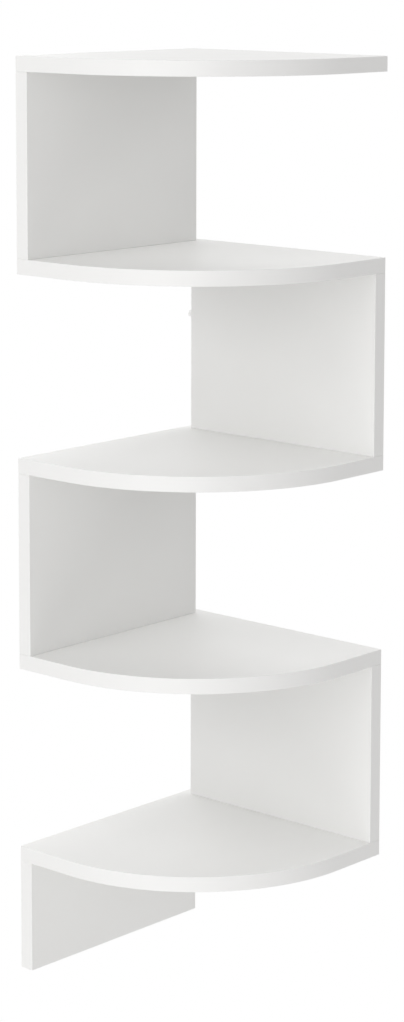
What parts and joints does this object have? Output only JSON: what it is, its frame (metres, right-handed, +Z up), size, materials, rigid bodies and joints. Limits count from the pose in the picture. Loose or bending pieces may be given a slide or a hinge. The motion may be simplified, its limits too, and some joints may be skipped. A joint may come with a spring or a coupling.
{
  "type": "corner shelf unit",
  "caption": "White wall-hung corner shelf unit: round-fronted boards joined in a zigzag by upright panels that stand in turn against the left and the right wall.",
  "frame": {"origin": "on the line where the two walls meet, level with the lower end of the lowest panel", "axes": "+Z up; +X runs along the right wall away from the corner; -Y runs along the left wall away from the corner; the left wall is the plane x = 0 and the right wall is the plane y = 0"},
  "size_m": [0.2, 0.2, 0.717],
  "materials": {
    "white_board": "satin white laminate on fibreboard",
    "beech_dowel": "plain turned beech",
    "zinc_cam": "bare die-cast zinc",
    "steel_fitting": "bright zinc-plated steel",
    "white_nylon": "smooth white nylon"
  },
  "bodies": {
    "root": {"shelf_1": "white_board", "shelf_2": "white_board", "shelf_3": "white_board", "shelf_4": "white_board", "shelf_5": "white_board", "side_panel_1": "white_board", "side_panel_1_top_dowel_rear": "beech_dowel", "side_panel_1_top_dowel_front": "beech_dowel", "side_panel_1_top_cam": "zinc_cam", "side_panel_1_top_cam_bolt": "steel_fitting", "side_panel_1_foot_dowel_rear": "beech_dowel", "side_panel_1_foot_dowel_front": "beech_dowel", "side_panel_1_foot_cam": "zinc_cam", "side_panel_1_foot_cam_bolt": "steel_fitting", "side_panel_1_hanging_plate": "steel_fitting", "side_panel_1_plate_screw_upper": "steel_fitting", "side_panel_1_plate_screw_lower": "steel_fitting", "side_panel_2": "white_board", "side_panel_2_top_dowel_rear": "beech_dowel", "side_panel_2_top_dowel_front": "beech_dowel", "side_panel_2_top_cam": "zinc_cam", "side_panel_2_top_cam_bolt": "steel_fitting", "side_panel_2_foot_dowel_rear": "beech_dowel", "side_panel_2_foot_dowel_front": "beech_dowel", "side_panel_2_foot_cam": "zinc_cam", "side_panel_2_foot_cam_bolt": "steel_fitting", "side_panel_2_hanging_plate": "steel_fitting", "side_panel_2_plate_screw_upper": "steel_fitting", "side_panel_2_plate_screw_lower": "steel_fitting", "side_panel_2_edge_stud": "white_nylon", "side_panel_3": "white_board", "side_panel_3_top_dowel_rear": "beech_dowel", "side_panel_3_top_dowel_front": "beech_dowel", "side_panel_3_top_cam": "zinc_cam", "side_panel_3_top_cam_bolt": "steel_fitting", "side_panel_3_foot_dowel_rear": "beech_dowel", "side_panel_3_foot_dowel_front": "beech_dowel", "side_panel_3_foot_cam": "zinc_cam", "side_panel_3_foot_cam_bolt": "steel_fitting", "side_panel_4": "white_board", "side_panel_4_top_dowel_rear": "beech_dowel", "side_panel_4_top_dowel_front": "beech_dowel", "side_panel_4_top_cam": "zinc_cam", "side_panel_4_top_cam_bolt": "steel_fitting", "side_panel_4_foot_dowel_rear": "beech_dowel", "side_panel_4_foot_dowel_front": "beech_dowel", "side_panel_4_foot_cam": "zinc_cam", "side_panel_4_foot_cam_bolt": "steel_fitting", "side_panel_5": "white_board", "side_panel_5_top_dowel_rear": "beech_dowel", "side_panel_5_top_dowel_front": "beech_dowel", "side_panel_5_top_cam": "zinc_cam", "side_panel_5_top_cam_bolt": "steel_fitting"}
  },
  "joints": []
}
